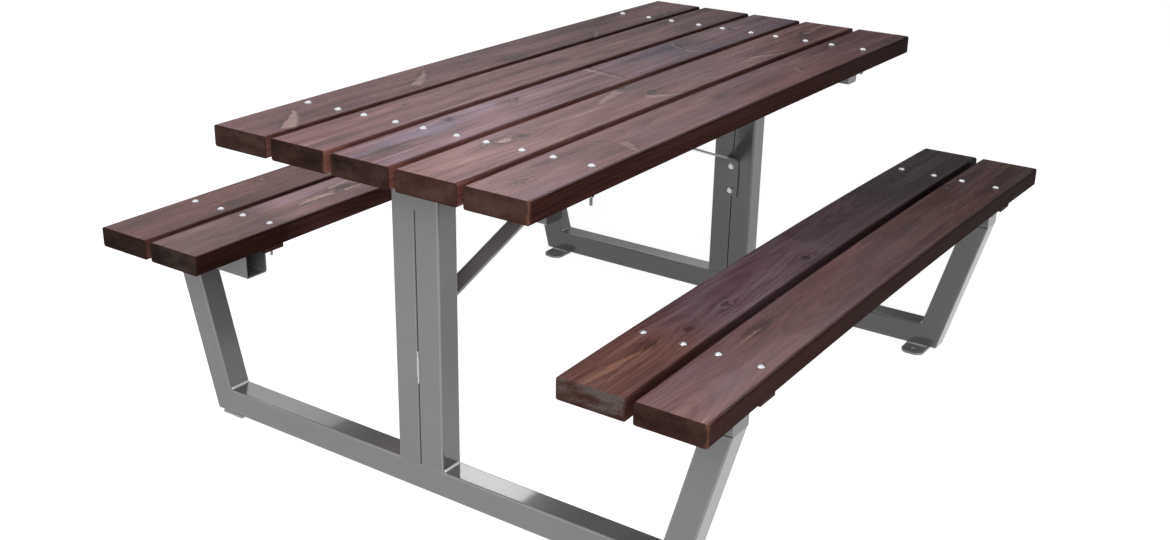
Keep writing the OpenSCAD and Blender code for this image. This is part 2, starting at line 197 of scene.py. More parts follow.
class BoardSettings(bpy.types.PropertyGroup):
    """Shape and stain of the boards."""

    arris: FloatProperty(
        name="Arris", description="Rounding of a board's long edges", default=0.005, unit="LENGTH")
    end_arris: FloatProperty(
        name="End arris", description="Rounding of a board's sawn ends", default=0.0018, unit="LENGTH")
    top_bow: FloatProperty(
        name="Bow", description="Rise of a board between its bolt rows", default=0.0015, unit="LENGTH")
    bench_bow: FloatProperty(
        name="Front bench bow", description="Rise of the front bench's boards between the bolt rows",
        default=0.006, unit="LENGTH")
    stain: FloatVectorProperty(
        name="Stain", description="Main colour of the stain", subtype="COLOR", default=(0.155, 0.071, 0.064))
    stain_deep: FloatVectorProperty(
        name="Deep stain", description="Where the wood took up more stain", subtype="COLOR",
        default=(0.070, 0.027, 0.023))
    stain_pale: FloatVectorProperty(
        name="Pale stain", description="Where the wood took up less stain", subtype="COLOR",
        default=(0.255, 0.140, 0.125))
    # Greyer places stand for weathered wood and for painted sky sheen
    grey_stain_and_sheen: FloatVectorProperty(
        name="Grey stain", description="Weathered, greyer places", subtype="COLOR", default=(0.155, 0.112, 0.128))
    knot_pale: FloatVectorProperty(
        name="Pale knot", description="Core of a resinous knot", subtype="COLOR", default=(0.560, 0.385, 0.345))
    knot_dark: FloatVectorProperty(
        name="Dark knot", description="Core and rim of a dark knot", subtype="COLOR", default=(0.030, 0.012, 0.010))
    raw_wood: FloatVectorProperty(
        name="Raw wood", description="Orange-brown wood under the stain", subtype="COLOR",
        default=(0.330, 0.160, 0.105))
    end_grain: FloatVectorProperty(
        name="End grain", description="Stained end grain", subtype="COLOR", default=(0.058, 0.028, 0.021))
    end_dust: FloatVectorProperty(
        name="End dust", description="Dusty places on the end grain", subtype="COLOR", default=(0.095, 0.078, 0.072))
    edge_depth: FloatProperty(
        name="Edge depth", description="Tone of the long edges against the broad faces", default=0.30)


class FrameSettings(bpy.types.PropertyGroup):
    """Paint and welds of the end frames."""

    paint: FloatVectorProperty(
        name="Paint", description="Colour of the paint", subtype="COLOR", default=(0.140, 0.140, 0.140))
    weld_radius: FloatProperty(
        name="Weld radius", description="Half the width of a weld bead", default=0.0042, unit="LENGTH")
    weld_pitch: FloatProperty(
        name="Weld pitch", description="Distance between the ripples of a bead", default=0.0035, unit="LENGTH")


class FastenerSettings(bpy.types.PropertyGroup):
    """Finish of bolts, washers and nuts."""

    zinc: FloatVectorProperty(
        name="Zinc", description="Colour of the plating", subtype="COLOR", default=(0.90, 0.93, 0.97))
    thread_pitch: FloatProperty(
        name="Thread pitch", description="Distance between thread ridges", default=0.00125, unit="LENGTH")


class StageSettings(bpy.types.PropertyGroup):
    """Camera, light and floor."""

    camera_place: FloatVectorProperty(
        name="Camera place", description="Where the camera stands", subtype="TRANSLATION",
        default=(-2.59978, -1.68361, 1.52666))
    camera_turn: FloatVectorProperty(
        name="Camera turn", description="Rotation of the camera", subtype="EULER",
        default=(1.204903, -0.016634, -0.967809))
    lens: FloatProperty(name="Lens", description="Focal length on a 36 mm sensor, in mm", default=41.951)
    shift_x: FloatProperty(name="Shift x", description="Sideways framing of the photograph", default=0.00584)
    shift_y: FloatProperty(name="Shift y", description="Upright framing of the photograph", default=-0.0188)
    overhead: FloatProperty(
        name="Overhead", description="Power of the softbox above the near end", default=44.0, subtype="POWER")
    end_light: FloatProperty(
        name="End light", description="Power of the softbox at the near end", default=152.0, subtype="POWER")
    sheen_light: FloatProperty(
        name="Sheen light", description="Power of the softbox behind the table", default=24.0, subtype="POWER")
    runner_light: FloatProperty(
        name="Runner light", description="Power of the small light that glints on the near runner", default=3.4,
        subtype="POWER")
    side_light: FloatProperty(
        name="Side light", description="Power of the softbox at the front bench", default=10.0, subtype="POWER")
    world: FloatProperty(name="World", description="Strength of the even light from all round", default=0.09)
    floor_size: FloatProperty(
        name="Floor size", description="Half the width of the floor", default=40.0, unit="LENGTH")


def feed(tree, socket, value):
    """Links a socket to an input, or sets the input to a plain value."""
    if isinstance(value, bpy.types.NodeSocket):
        tree.links.new(value, socket)
    else:
        socket.default_value = value


def put(tree, kind, settings=None, **inputs):
    """Adds a node, with its settings, and sets or links its inputs by name."""
    made = tree.nodes.new(kind)
    for key, value in (settings or {}).items():
        setattr(made, key, value)
    for key, value in inputs.items():
        feed(tree, made.inputs[key.replace("_", " ")], value)
    return made


def sums(tree, operation, *values, clamp=False):
    """A Math node on one to three values."""
    made = put(tree, "ShaderNodeMath", {"operation": operation, "use_clamp": clamp})
    for socket, value in zip(made.inputs, values):
        feed(tree, socket, value)
    return made.outputs[0]


def times(tree, first, second):
    """The product of two values."""
    return sums(tree, "MULTIPLY", first, second)


def vectors(tree, operation, *values, scale=None):
    """A Vector Math node; gives its value for lengths and its vector for the rest."""
    made = put(tree, "ShaderNodeVectorMath", {"operation": operation})
    for socket, value in zip(made.inputs, values):
        feed(tree, socket, value)
    if scale is not None:
        feed(tree, made.inputs["Scale"], scale)
    return made.outputs["Value" if operation in ("LENGTH", "DISTANCE", "DOT_PRODUCT") else "Vector"]


def axes(tree, vector):
    """The X, Y and Z of a vector."""
    return put(tree, "ShaderNodeSeparateXYZ", Vector=vector).outputs


def blend(tree, share, first, second):
    """A mix of two colours."""
    made = put(tree, "ShaderNodeMix", {"data_type": "RGBA", "blend_type": "MIX", "clamp_factor": True})
    for socket, value in ((made.inputs[0], share), (made.inputs[6], first), (made.inputs[7], second)):
        if not isinstance(value, (bpy.types.NodeSocket, float)):
            value = (*value[:3], 1.0)
        feed(tree, socket, value)
    return made.outputs[2]


def span(tree, value, low, high, start=0.0, end=1.0, smooth=True):
    """A Map Range node, eased unless told otherwise."""
    made = put(tree, "ShaderNodeMapRange", {"interpolation_type": "SMOOTHSTEP" if smooth else "LINEAR"})
    for key, given in (("Value", value), ("From Min", low), ("From Max", high), ("To Min", start), ("To Max", end)):
        feed(tree, made.inputs[key], given)
    return made.outputs[0]


def ramp(tree, value, *stops):
    """A colour ramp through stops of (position, colour)."""
    made = put(tree, "ShaderNodeValToRGB", Fac=value)
    elements = made.color_ramp.elements
    elements[0].position, elements[1].position = stops[0][0], stops[-1][0]
    elements[0].color, elements[1].color = (*stops[0][1], 1.0), (*stops[-1][1], 1.0)
    for place, colour in stops[1:-1]:
        elements.new(place).color = (*colour, 1.0)
    return made.outputs["Color"]


def noise(tree, vector, scale=1.0, detail=2.0, rough=0.5):
    """A Noise node's value."""
    return put(tree, "ShaderNodeTexNoise", Vector=vector, Scale=scale, Detail=detail, Roughness=rough).outputs["Fac"]


def wander(tree, vector, reach, scale=1.0, detail=2.0, rough=0.5):
    """A noise vector that strays to both sides, by up to half the reach on each axis."""
    made = put(tree, "ShaderNodeTexNoise", Vector=vector, Scale=scale, Detail=detail, Roughness=rough)
    return vectors(tree, "MULTIPLY", vectors(tree, "SUBTRACT", made.outputs["Color"], (0.5, 0.5, 0.5)), reach)


def stretched(tree, vector, factors, offset=None):
    """The vector times one factor per axis, after an offset."""
    if offset is not None:
        vector = vectors(tree, "ADD", vector, offset)
    return vectors(tree, "MULTIPLY", vector, factors)


def object_place(tree):
    """Object coordinates."""
    return tree.nodes.new("ShaderNodeTexCoord").outputs["Object"]


def board_place(tree, low, high):
    """Object coordinates moved so that the board's middle is zero."""
    return put(tree, "ShaderNodeMapping", Vector=object_place(tree), Location=-(low + high) / 2).outputs[0]


def shared_group(name, vector_inputs, float_inputs, outputs):
    """Makes a shader group once from the decorated function, which then places it in a tree and gives its outputs."""
    def decorate(fill):
        def make():
            group = bpy.data.node_groups.new(name, "ShaderNodeTree")
            for keys, side, kind in ((vector_inputs, "INPUT", "Vector"), (float_inputs, "INPUT", "Float"),
                                     (outputs, "OUTPUT", "Float")):
                for key in keys:
                    group.interface.new_socket(name=key, in_out=side, socket_type="NodeSocket" + kind)
            made = fill(group, group.nodes.new("NodeGroupInput").outputs)
            end = group.nodes.new("NodeGroupOutput").inputs
            for key, value in made.items():
                group.links.new(value, end[key])
            return group

        def place(tree, **inputs):
            made = tree.nodes.new("ShaderNodeGroup")
            made.node_tree = bpy.data.node_groups.get(name) or make()
            for key, value in inputs.items():
                feed(tree, made.inputs[key], value)
            return made.outputs

        place.__doc__ = fill.__doc__
        return place
    return decorate


@shared_group("pine_knot", ("Vector", "Place", "Shape"), ("Radius",), ("Core", "Eyes", "Rim", "Bend", "Halo", "Swirl"))
def pine_knot(tree, given):
    """A knot that passes through the board: core, its own rings, rim, and how far the grain bends aside round it."""
    near = vectors(tree, "SUBTRACT", given["Vector"], given["Place"])
    ragged = vectors(tree, "ADD", near, wander(tree, given["Vector"], (0.014, 0.014, 0.014), 70.0, 2.0, 0.6))
    reach, zone = [
        sums(tree, "DIVIDE", vectors(tree, "LENGTH", vectors(tree, "MULTIPLY", ragged, shape)), given["Radius"])
        for shape in (given["Shape"], (0.26, 0.66, 0.0))]
    bend = sums(tree, "DIVIDE", axes(tree, near)["Y"], sums(tree, "ADD", times(tree, zone, zone), 0.22))
    halo = span(tree, zone, 3.2, 0.7)
    curl = span(tree, sums(tree, "SINE", times(tree, zone, 15.0)), 0.1, 1.0)
    return {
        "Core": span(tree, reach, 1.0, 0.8),
        "Eyes": span(tree, sums(tree, "SINE", times(tree, reach, 13.0)), -1.0, 1.0),
        "Rim": span(tree, sums(tree, "ABSOLUTE", sums(tree, "SUBTRACT", reach, 1.05)), 0.28, 0.0),
        "Bend": times(tree, bend, -1.0),
        "Halo": halo,
        "Swirl": times(tree, curl, times(tree, halo, halo)),
    }


@shared_group("spike_knot", ("Vector", "Root", "Axis"), ("Half",), ("Fill", "Outline"))
def spike_knot(tree, given):
    """A knot cut lengthways: a pale wedge from its root to its tip, and the dark line along one side of it."""
    axis = given["Axis"]
    wobble = wander(tree, given["Vector"], (0.016, 0.010, 0.0), 60.0, 2.0, 0.6)
    near = vectors(tree, "ADD", vectors(tree, "SUBTRACT", given["Vector"], given["Root"]), wobble)
    near = vectors(tree, "MULTIPLY", near, (1.0, 1.0, 0.0))
    share = sums(tree, "DIVIDE", vectors(tree, "DOT_PRODUCT", near, axis), vectors(tree, "DOT_PRODUCT", axis, axis))
    turned = axes(tree, vectors(tree, "CROSS_PRODUCT", axis, near))["Z"]
    signed = sums(tree, "DIVIDE", turned, vectors(tree, "LENGTH", axis))
    aside = sums(tree, "ABSOLUTE", signed)
    # One side is straight and hard, and the other bulges and fades.
    lean = span(tree, signed, -0.002, 0.002, 0.45, 1.4)
    taper = sums(tree, "POWER", sums(tree, "SUBTRACT", 1.0, share, clamp=True), lean)
    bulge = sums(tree, "MULTIPLY_ADD", share, 0.9, 0.6)
    taper = times(tree, taper, span(tree, signed, -0.002, 0.002, bulge, 1.0))
    width = sums(tree, "ADD", times(tree, given["Half"], taper), 0.0006)
    inside = times(tree, span(tree, share, -0.10, 0.02), span(tree, share, 1.15, 0.9))
    soft = span(tree, signed, -0.004, 0.002, 0.35, 0.85)
    fill = span(tree, sums(tree, "DIVIDE", aside, width), 1.05, soft)
    beyond = sums(tree, "SUBTRACT", aside, width)
    line = times(tree, span(tree, beyond, -0.002, 0.0015), span(tree, beyond, 0.013, 0.002))
    line = times(tree, line, span(tree, signed, -0.004, 0.004, 0.25, 1.0))
    return {"Fill": times(tree, fill, inside), "Outline": times(tree, line, inside)}


@shared_group("growth_rings", ("Vector", "Seed", "Pith"), ("Pitch",), ("Late wood",))
def growth_rings(tree, given):
    """Growth rings round a wandering pith that runs along x."""
    seeded = vectors(tree, "ADD", given["Vector"], given["Seed"])
    drift = wander(tree, stretched(tree, seeded, (1.1, 1.5, 1.5)), (0.0, 0.055, 0.075), detail=1.0)
    ripple = wander(tree, stretched(tree, seeded, (6.0, 34.0, 34.0)), (0.0, 0.0055, 0.0055), detail=3.0)
    moved = vectors(tree, "ADD", vectors(tree, "ADD", given["Vector"], drift), ripple)
    across = vectors(tree, "SUBTRACT", moved, given["Pith"])
    radius = vectors(tree, "LENGTH", vectors(tree, "MULTIPLY", across, (0.0, 1.0, 1.0)))
    phase = sums(tree, "FRACT", sums(tree, "DIVIDE", radius, given["Pitch"]))
    return {"Late wood": times(tree, span(tree, phase, 0.40, 0.90), span(tree, phase, 1.0, 0.92))}


@shared_group("stain_grain", ("Vector", "Seed"), (), ("Band", "Streak", "Line", "Fibre", "Grey"))
def stain_grain(tree, given):
    """Uptake of stain along the grain, each from -1 to 1 (bands, streaks, lines), fibres, and greyer places."""
    seeded = vectors(tree, "ADD", given["Vector"], given["Seed"])
    made = {}
    for key, factors, detail in (("Band", (2.3, 13.0, 13.0), 3.0), ("Streak", (2.4, 48.0, 48.0), 5.0),
                                 ("Line", (4.5, 170.0, 170.0), 3.0)):
        value = noise(tree, stretched(tree, seeded, factors), 1.0, detail, 0.62)
        made[key] = span(tree, value, 0.28, 0.72, -1.0, 1.0, smooth=False)
    made["Fibre"] = noise(tree, stretched(tree, seeded, (9.0, 620.0, 620.0)), 1.0, 2.0, 0.6)
    grey = noise(tree, stretched(tree, seeded, (2.6, 10.0, 10.0), (7.7, 2.9, 1.3)), 1.0, 3.0, 0.55)
    made["Grey"] = span(tree, grey, 0.46, 0.66)
    return made


@shared_group("metal_mottle", ("Vector",), ("Fine",), ("Cloud", "Peel", "Scuff"))
def metal_mottle(tree, given):
    """Fine and coarse mottling for painted and plated metal."""
    return {
        "Cloud": noise(tree, given["Vector"], 9.0, 4.0, 0.6),
        "Peel": noise(tree, given["Vector"], given["Fine"], 1.0, 0.5),
        "Scuff": span(tree, noise(tree, given["Vector"], 46.0, 5.0, 0.65), 0.60, 0.74),
    }


def new_material(name, **inputs):
    """A material, its tree and its Principled shader, with plain inputs set by name."""
    made = bpy.data.materials.new(name)
    made.use_nodes = True
    shader = made.node_tree.nodes["Principled BSDF"]
    for key, value in inputs.items():
        shader.inputs[key.replace("_", " ")].default_value = value
    return made, made.node_tree, shader


def dress(tree, shader, colour, rough, height, strength, distance):
    """Feeds colour, roughness and the bump of a height to the shader."""
    bump = put(tree, "ShaderNodeBump", Height=height, Strength=strength, Distance=distance)
    for key, value in (("Base Color", colour), ("Roughness", rough), ("Normal", bump.outputs[0])):
        tree.links.new(value, shader.inputs[key])


def worn_corner(tree, here, half, strength, colour):
    """Raw wood along the upright front corner of the near end, broken up by noise."""
    if not strength:
        return colour
    off = vectors(tree, "MULTIPLY", vectors(tree, "ADD", here, half), (1.0, 1.0, 0.0))
    ragged = noise(tree, stretched(tree, here, (90.0, 90.0, 60.0)), 1.0, 3.0)
    reach = sums(tree, "ADD", vectors(tree, "LENGTH", off), times(tree, ragged, 0.016))
    share = times(tree, span(tree, reach, 0.0170, 0.0060), strength)
    return blend(tree, share, colour, bpy.context.scene.table_boards.raw_wood)


def knot_marks(tree, here, knots):
    """What all knots of a board do together: bend the grain, and mark cores, rims, halos and swirls."""
    marks = dict.fromkeys(("Bend", "Pale", "Dark", "Rim", "Halo", "Swirl"), 0.0)
    for x, y, radius, pale, stretch in knots:
        knot = pine_knot(tree, Vector=here, Place=(x, y, 0.0), Shape=(1.0 / stretch, 1.0, 0.0), Radius=radius)
        core = times(tree, knot["Core"], span(tree, knot["Eyes"], 0.0, 1.0, 0.7, 1.0))
        marks["Bend"] = sums(tree, "ADD", marks["Bend"], knot["Bend"])
        found = {"Pale": times(tree, core, pale), "Dark": times(tree, core, 1.0 - pale),
                 "Rim": knot["Rim"], "Halo": knot["Halo"], "Swirl": knot["Swirl"]}
        for key, value in found.items():
            marks[key] = sums(tree, "MAXIMUM", marks[key], value)
    return marks


def length_tones(tree, here, low, high, board):
    """The board's tone along x, through the changes of its lengths, which end in small teeth."""
    along = axes(tree, here)
    teeth = times(tree, sums(tree, "PINGPONG", along["Y"], 0.004), 1.2)
    share = span(tree, sums(tree, "ADD", along["X"], teeth), low.x, high.x, smooth=False)
    steps = put(tree, "ShaderNodeValToRGB", Fac=share)
    stops = steps.color_ramp.elements
    last = (board.tone, board.tone, board.tone, 1.0)
    stops[0].color, stops[1].position = last, 1.0
    for start, value, cool, soft in board.lengths_and_light:
        fresh = (value, value * (1.0 + 0.35 * cool), value * (1.0 + cool), 1.0)
        for place, shown in ((start - soft, last), (start + soft, fresh)):
            stops.new((place - low.x) / (high.x - low.x)).color = shown
        stops[-1].color = last = fresh
    return steps.outputs["Color"]


def face_marks(tree, here, half, board, row, lines, marks, colour):
    """Adds spikes, knots, damp wood round the bolts and darker long edges to a broad face's colour."""
    look = bpy.context.scene.table_boards
    for x0, y0, x1, y1, wide, pale, outline, raw in board.spikes:
        spike = spike_knot(tree, Vector=here, Root=(x0, y0, 0.0), Axis=(x1 - x0, y1 - y0, 0.0), Half=wide)
        core = tuple(board.paler * (a + (b - a) * raw) for a, b in zip(look.knot_pale, look.raw_wood))
        streaks = span(tree, lines["Line"], -1.0, 1.0, 0.55 * pale, pale, smooth=False)
        colour = blend(tree, times(tree, spike["Fill"], streaks), colour, core)
        colour = blend(tree, times(tree, spike["Outline"], outline * 0.8), colour, look.stain_deep)
    colour = blend(tree, marks["Pale"], colour, look.knot_pale)
    colour = blend(tree, marks["Dark"], colour, look.knot_dark)
    colour = blend(tree, times(tree, marks["Rim"], 0.50), colour, look.knot_dark)
    folded = vectors(tree, "MULTIPLY", vectors(tree, "ABSOLUTE", here), (1.0, 1.0, 0.0))
    # Wet-darkened wood round the bolts, with painted contact shadow
    ragged = noise(tree, stretched(tree, here, (60.0, 160.0, 160.0)), 1.0, 2.0)
    damp_and_shadow = sums(tree, "ADD", vectors(tree, "DISTANCE", folded, (row, BOLT_ASIDE, 0.0)),
                times(tree, ragged, 0.010))
    colour = blend(tree, times(tree, span(tree, damp_and_shadow, 0.020, 0.012), 0.30), colour, look.stain_deep)
    # A darker band along the long edges of the face is painted shade at the gaps
    rimmed = span(tree, axes(tree, folded)["Y"], half.y - 0.012, half.y)
    return blend(tree, times(tree, rimmed, 0.45), colour, look.stain_deep)


def stained_face(name, low, high, board, number, edge):
    """Stained pine on the broad faces of one board, or on its darker and duller edges."""
    look = bpy.context.scene.table_boards
    made, tree, shader = new_material(name + ("_edge_stain" if edge else "_stain"),
                                      Specular_IOR_Level=0.02 if edge else 0.26)
    here = board_place(tree, low, high)
    half = (high - low) / 2
    seed = (number * 1.37, number * 0.73 + board.shift, number * 0.41)
    marks = knot_marks(tree, here, () if edge else board.knots)
    grain = here
    if not edge:
        grain = vectors(tree, "ADD", here, put(tree, "ShaderNodeCombineXYZ", Y=marks["Bend"]).outputs[0])
    rings = growth_rings(tree, Vector=grain, Seed=seed, Pith=(0.0, *board.pith), Pitch=board.ring)["Late wood"]
    lines = stain_grain(tree, Vector=grain, Seed=seed)
    grainy = board.grain * (0.6 if edge else 1.0)
    uptake = 0.55
    for mark, weight in ((lines["Band"], 0.26 * grainy), (lines["Streak"], 0.26 * grainy),
                         (lines["Line"], sums(tree, "MULTIPLY_ADD", marks["Halo"], 0.22, 0.09 * grainy)),
                         (rings, -0.26 * board.figure), (marks["Halo"], -0.10), (marks["Swirl"], -0.26)):
        uptake = sums(tree, "MULTIPLY_ADD", mark, weight, uptake)
    colour = ramp(tree, uptake, (0.0, look.knot_dark), (0.22, look.stain_deep),
                  (0.50, look.stain), (0.78, look.stain_pale), (1.0, look.knot_pale))
    # Greyer places: weathered wood and painted sky sheen
    grey_and_sheen_share = times(tree, lines["Grey"], 0.0 if edge else board.haze)
    colour = blend(tree, grey_and_sheen_share, colour, look.grey_stain_and_sheen)
    tone = board.tone
    if board.lengths_and_light:
        colour = vectors(tree, "MULTIPLY", colour, length_tones(tree, here, low, high, board))
        tone = 1.0
    if edge:
        # Each board's shade scales its edges: painted light in the gaps and painted shade under the table top. The
        # edges fade along the board as painted shade, away from the light at the near end.
        tone *= look.edge_depth * board.shade
        fade = span(tree, axes(tree, here)["X"], low.x, high.x, 1.14 * tone, 0.66 * tone, smooth=False)
        colour = vectors(tree, "SCALE", vectors(tree, "MULTIPLY", colour, (1.12, 0.98, 0.92)), scale=fade)
    else:
        colour = vectors(tree, "MULTIPLY", colour, (tone * board.red, tone, tone * board.blue))
        row = BOLT_ROWS[name.split("_")[0]]
        colour = face_marks(tree, here, half, board, row, lines, marks, colour)
    colour = worn_corner(tree, here, half, board.worn, colour)
    rough = span(tree, lines["Streak"], -1.0, 1.0, 0.20, 0.34, smooth=False)
    rough = sums(tree, "MULTIPLY_ADD", grey_and_sheen_share, -0.06, rough)
    rough = sums(tree, "ADD", rough, 0.3 if edge else 0.0)
    height = sums(tree, "MULTIPLY_ADD", rings, 0.4, sums(tree, "MULTIPLY_ADD", lines["Line"], 0.25, lines["Fibre"]))
    dress(tree, shader, colour, rough, height, 0.35, 0.0006)
    return made


def end_face(name, low, high, board, number):
    """Sawn end grain of one board: faint rings, upright saw marks, a dark border and dusty places."""
    look = bpy.context.scene.table_boards
    made, tree, shader = new_material(name + "_end_grain", Specular_IOR_Level=0.04)
    here = board_place(tree, low, high)
    half = (high - low) / 2
    seed = (number * 0.91, number * 0.57, number * 1.13)
    tone, dust = board.ends
    rings = growth_rings(tree, Vector=here, Seed=seed, Pith=(0.0, *board.pith), Pitch=board.ring)["Late wood"]
    cloud = noise(tree, stretched(tree, here, (1.0, 16.0, 34.0), seed), 1.0, 4.0, 0.6)
    saw = noise(tree, stretched(tree, here, (1.0, 260.0, 22.0), seed), 1.0, 3.0, 0.6)
    speck = noise(tree, stretched(tree, here, (1.0, 420.0, 420.0), seed), 1.0, 3.0, 0.6)
    level = sums(tree, "MULTIPLY_ADD", span(tree, cloud, 0.25, 0.75, -1.0, 1.0, smooth=False), 0.30, tone)
    level = sums(tree, "MULTIPLY_ADD", span(tree, saw, 0.30, 0.70, -1.0, 1.0, smooth=False), 0.14 * tone, level)
    level = sums(tree, "MULTIPLY_ADD", rings, -0.18 * tone, level)
    colour = vectors(tree, "SCALE", tuple(look.end_grain), scale=sums(tree, "MAXIMUM", level, 0.12))
    dusty = times(tree, span(tree, cloud, 0.36, 0.66), span(tree, speck, 0.35, 0.7, 0.35, 1.0))
    colour = blend(tree, times(tree, dusty, dust), colour, look.end_dust)
    room = axes(tree, vectors(tree, "SUBTRACT", half, vectors(tree, "ABSOLUTE", here)))
    border = sums(tree, "MULTIPLY_ADD", speck, 0.004, sums(tree, "MINIMUM", room["Y"], room["Z"]))
    colour = blend(tree, times(tree, span(tree, border, 0.0085, 0.0025), 0.6), colour, look.knot_dark)
    colour = worn_corner(tree, here, half, board.worn, colour)
    rough = span(tree, cloud, 0.2, 0.8, 0.50, 0.72, smooth=False)
    dress(tree, shader, colour, rough, sums(tree, "MULTIPLY_ADD", rings, 0.5, saw), 0.4, 0.0006)
    return made


def batten_stain(name):
    """Dark stain on the strips and the batten under the boards, whose grain runs along y."""
    look = bpy.context.scene.table_boards
    made, tree, shader = new_material(name, Specular_IOR_Level=0.08)
    turned = put(tree, "ShaderNodeMapping", Vector=object_place(tree), Rotation=(0.0, 0.0, math.pi / 2)).outputs[0]
    rings = growth_rings(tree, Vector=turned, Seed=(2.3, 0.9, 1.1), Pith=(0.0, 0.01, 0.66), Pitch=0.0036)["Late wood"]
    lines = stain_grain(tree, Vector=turned, Seed=(5.1, 0.3, 2.2))
    uptake = sums(tree, "MULTIPLY_ADD", lines["Streak"], 0.22, sums(tree, "MULTIPLY_ADD", rings, -0.2, 0.4))
    colour = ramp(tree, uptake, (0.0, look.knot_dark), (0.6, look.stain_deep), (1.0, look.stain))
    rough = span(tree, lines["Streak"], -1.0, 1.0, 0.45, 0.62, smooth=False)
    dress(tree, shader, colour, rough, sums(tree, "ADD", rings, lines["Fibre"]), 0.3, 0.0005)
    return made


def frame_paint(name, gain=1.0, seam=False, bar=False):
    """Glossy grey paint, paler on rounded edges and the braces' sloping bars, with dirt in the posts' seam."""
    made, tree, shader = new_material(name, Specular_IOR_Level=0.5, Coat_Weight=0.7, Coat_Roughness=0.06)
    here = object_place(tree)
    paint = tuple(gain * c for c in bpy.context.scene.table_frames.paint)
    mottle = metal_mottle(tree, Vector=here, Fine=750.0)
    colour = vectors(tree, "SCALE", paint, scale=span(tree, mottle["Cloud"], 0.25, 0.75, 0.93, 1.06, smooth=False))
    colour = blend(tree, times(tree, mottle["Scuff"], 0.18), colour, tuple(0.55 * c for c in paint))
    if bar:
        # Painted light on the sloping bars, which lie in the post's shadow
        off = sums(tree, "ABSOLUTE", axes(tree, here)["X"])
        colour = vectors(tree, "SCALE", colour, scale=span(tree, off, *BAR_ENDS, 1.0, BAR_LIGHT_GAIN))
    else:
        # Painted highlight along the tubes' rounded edges
        normal = tree.nodes.new("ShaderNodeNewGeometry").outputs["True Normal"]
        facing = sums(tree, "ABSOLUTE", axes(tree, normal)["X"])
        rounded = times(tree, span(tree, facing, 0.10, 0.30), span(tree, facing, 0.98, 0.90))
        colour = vectors(tree, "SCALE", colour, scale=sums(tree, "MULTIPLY_ADD", rounded, EDGE_HIGHLIGHT_GAIN, 1.0))
    if seam:
        # Painted shade along the groove of the posts' seam
        off = sums(tree, "ABSOLUTE", axes(tree, here)["Y"])
        colour = blend(tree, times(tree, span(tree, off, 0.0029, 0.0014), 0.9), colour, SEAM_SHADE)
    rough = span(tree, mottle["Cloud"], 0.2, 0.8, 0.14, 0.24, smooth=False)
    dress(tree, shader, colour, rough, mottle["Peel"], 0.12, 0.0004)
    return made


def zinc_plate(name, tails, metal, rough, gain):
    """Zinc plating, duller and with thread ridges on the bolt tails below the given height."""
    look = bpy.context.scene.table_fasteners
    made, tree, shader = new_material(name, Metallic=metal)
    here = object_place(tree)
    zinc = tuple(gain * c for c in look.zinc)
    mottle = metal_mottle(tree, Vector=here, Fine=1600.0)
    colour = vectors(tree, "SCALE", zinc, scale=span(tree, mottle["Cloud"], 0.2, 0.8, 0.86, 1.08, smooth=False))
    colour = blend(tree, times(tree, mottle["Scuff"], 0.35), colour, (0.42, 0.42, 0.43))
    up = axes(tree, here)["Z"]
    # The tails hang in shade under the boards, so their darker colour is painted shade
    low = sums(tree, "LESS_THAN", up, tails)
    colour = blend(tree, times(tree, low, 0.82), colour, (0.10, 0.10, 0.11))
    ridge = times(tree, sums(tree, "PINGPONG", up, look.thread_pitch / 2), low)
    height = sums(tree, "ADD", times(tree, ridge, 1600.0), times(tree, mottle["Peel"], 0.15))
    rough = span(tree, mottle["Scuff"], 0.0, 1.0, rough, rough + 0.16, smooth=False)
    dress(tree, shader, colour, rough, height, 0.3, 0.0005)
    return made


def coat(piece, material):
    """Gives a piece one material in place of all it had."""
    piece.data.materials.clear()
    piece.data.materials.append(material)


def add_object(name, data):
    """Adds an object to the scene."""
    made = bpy.data.objects.new(name, data)
    bpy.context.scene.collection.objects.link(made)
    return made


def add_mesh(bm, name, materials):
    """Turns a bmesh into an object of the scene."""
    mesh = bpy.data.meshes.new(name)
    bm.to_mesh(mesh)
    bm.free()
    for made in materials:
        mesh.materials.append(made)
    return add_object(name, mesh)


def finish_piece(bm, name, materials, replaces=None):
    """Turns a bmesh into a piece that rides on the table."""
    piece = add_mesh(bm, name, materials)
    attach(piece, "root")
    if replaces:
        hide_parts(replaces)


